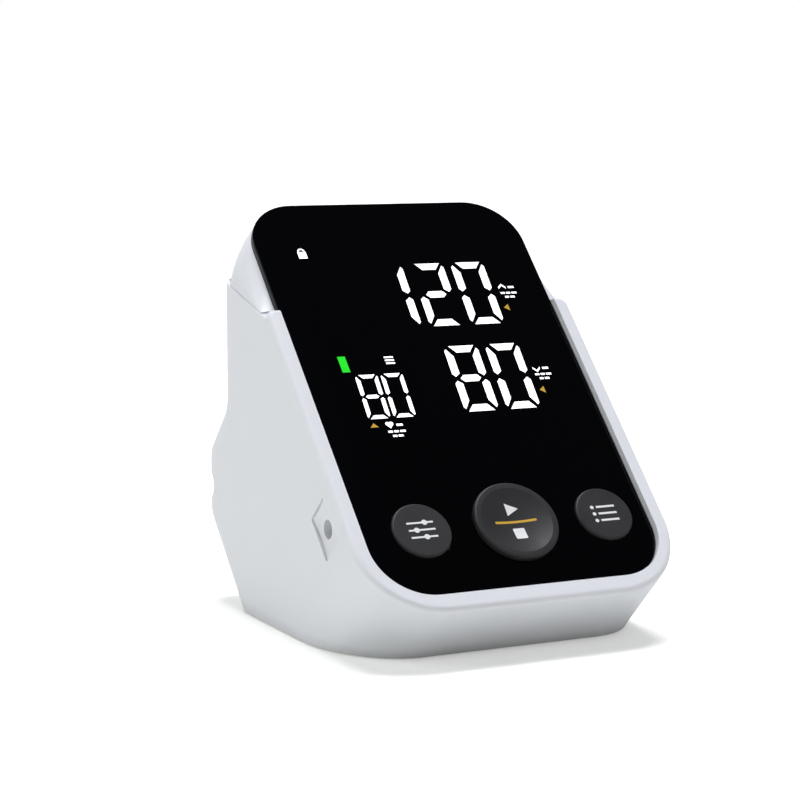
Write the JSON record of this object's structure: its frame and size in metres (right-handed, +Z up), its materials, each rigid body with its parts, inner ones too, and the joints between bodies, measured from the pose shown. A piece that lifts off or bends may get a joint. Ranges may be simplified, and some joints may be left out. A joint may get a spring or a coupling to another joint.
{
  "type": "upper arm blood pressure monitor",
  "caption": "Wedge-shaped desktop blood pressure monitor with a leaning glossy panel, lit readings, round press buttons and an air socket in its side.",
  "frame": {"origin": "on the table, under the middle of the monitor's bounding box", "axes": "+Z up, +X to the user's right, +Y to the rear"},
  "size_m": [0.11, 0.1334, 0.133],
  "materials": {
    "casing_white": "fine satin, cool white",
    "base_white": "fine matte",
    "panel_black": "polished",
    "lit_white": "lit",
    "lit_green": "lit",
    "lit_amber": "lit",
    "button_grey": "fine satin",
    "icon_white": "printed",
    "switch_black": "moulded",
    "display_white": "moulded",
    "board_green": "lacquered board",
    "screw_steel": "plated",
    "foot_rubber": "matt",
    "cell_wrap": "printed sleeve",
    "contact_nickel": "nickel plated",
    "tray_grey": "moulded",
    "armature_iron": "laminated",
    "eccentric_brass": "turned",
    "coil_copper": "enamelled winding",
    "hose_silicone": "translucent silicone",
    "sensor_black": "moulded",
    "port_white": "fine satin"
  },
  "bodies": {
    "housing": {"air_manifold": "tray_grey", "air_socket": "port_white", "amber_arrows": "lit_amber", "base_cover": "base_white", "base_screws": "screw_steel", "battery_cells": "cell_wrap", "battery_contacts": "contact_nickel", "battery_springs": "contact_nickel", "board_chips": "switch_black", "board_screws": "screw_steel", "component_tray": "tray_grey", "display_module": "display_white", "front_panel": "panel_black", "green_bar": "lit_green", "hose_pump": "hose_silicone", "hose_sensor": "hose_silicone", "hose_socket": "hose_silicone", "hose_valve": "hose_silicone", "jack_pin": "contact_nickel", "lower_housing": "casing_white", "main_board": "board_green", "motor_can": "contact_nickel", "motor_end_cap": "tray_grey", "plate_screws": "screw_steel", "power_socket": "switch_black", "pressure_sensor": "sensor_black", "pump_diaphragm": "foot_rubber", "pump_foam": "foot_rubber", "pump_head": "tray_grey", "pump_strap": "contact_nickel", "rubber_feet": "foot_rubber", "tact_switches": "switch_black", "tray_screws": "screw_steel", "upper_housing": "casing_white", "valve_coil": "coil_copper", "valve_frame": "contact_nickel", "valve_head": "switch_black", "white_figures": "lit_white"},
    "set_key": {"set_button": "button_grey", "set_icon": "icon_white", "set_plunger": "switch_black"},
    "start_key": {"start_button": "button_grey", "start_icon": "icon_white", "start_light": "lit_amber", "start_plunger": "switch_black"},
    "memory_key": {"memory_button": "button_grey", "memory_icon": "icon_white", "memory_plunger": "switch_black"},
    "door": {"battery_door": "base_white"},
    "pump_rotor": {"motor_armature": "armature_iron", "motor_shaft": "screw_steel", "pump_eccentric": "eccentric_brass"},
    "valve_core": {"valve_plunger": "screw_steel"}
  },
  "joints": [
    {"name": "set_press", "type": "slide", "parent": "housing", "child": "set_key", "axis": [0, 0.7193, -0.6947], "range_m": [0, 0.0008], "stiffness_N_per_m": 1500},
    {"name": "start_press", "type": "slide", "parent": "housing", "child": "start_key", "axis": [0, 0.7193, -0.6947], "range_m": [0, 0.0008], "stiffness_N_per_m": 1500},
    {"name": "memory_press", "type": "slide", "parent": "housing", "child": "memory_key", "axis": [0, 0.7193, -0.6947], "range_m": [0, 0.0008], "stiffness_N_per_m": 1500},
    {"name": "door_slide", "type": "slide", "parent": "housing", "child": "door", "axis": [0, 1, 0], "range_m": [0, 0.06]},
    {"name": "pump_spin", "type": "hinge", "parent": "housing", "child": "pump_rotor", "pos_m": [0, 0.02, 0.03849], "axis": [1, 0, 0], "continuous": true},
    {"name": "valve_pull", "type": "slide", "parent": "housing", "child": "valve_core", "axis": [0, 0, -1], "range_m": [0, 0.001], "stiffness_N_per_m": 300}
  ]
}
